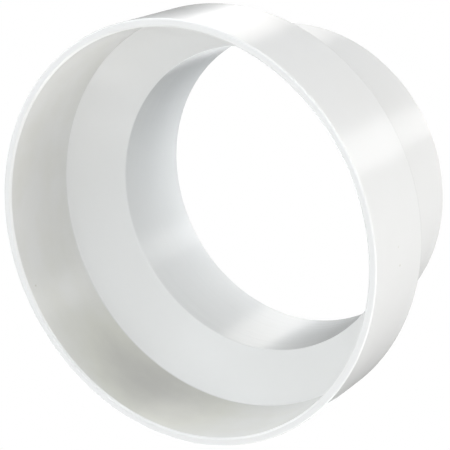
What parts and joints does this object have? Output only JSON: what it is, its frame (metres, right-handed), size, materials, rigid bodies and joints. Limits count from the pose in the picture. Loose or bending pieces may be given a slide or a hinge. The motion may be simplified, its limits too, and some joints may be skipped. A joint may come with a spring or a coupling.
{
  "type": "duct connector",
  "caption": "White plastic stepped duct connector: a wide socket narrows through a cone to a spigot, joining round ventilation ducts of different sizes.",
  "frame": {"origin": "centre of the spigot's end face, which the connector stands on", "axes": "+Z along the duct axis, from the spigot's end up to the socket's mouth"},
  "size_m": [0.1304, 0.1304, 0.0722],
  "materials": {
    "white_plastic": "satin, as moulded"
  },
  "bodies": {
    "root": {"connector_body": "white_plastic"}
  },
  "joints": []
}
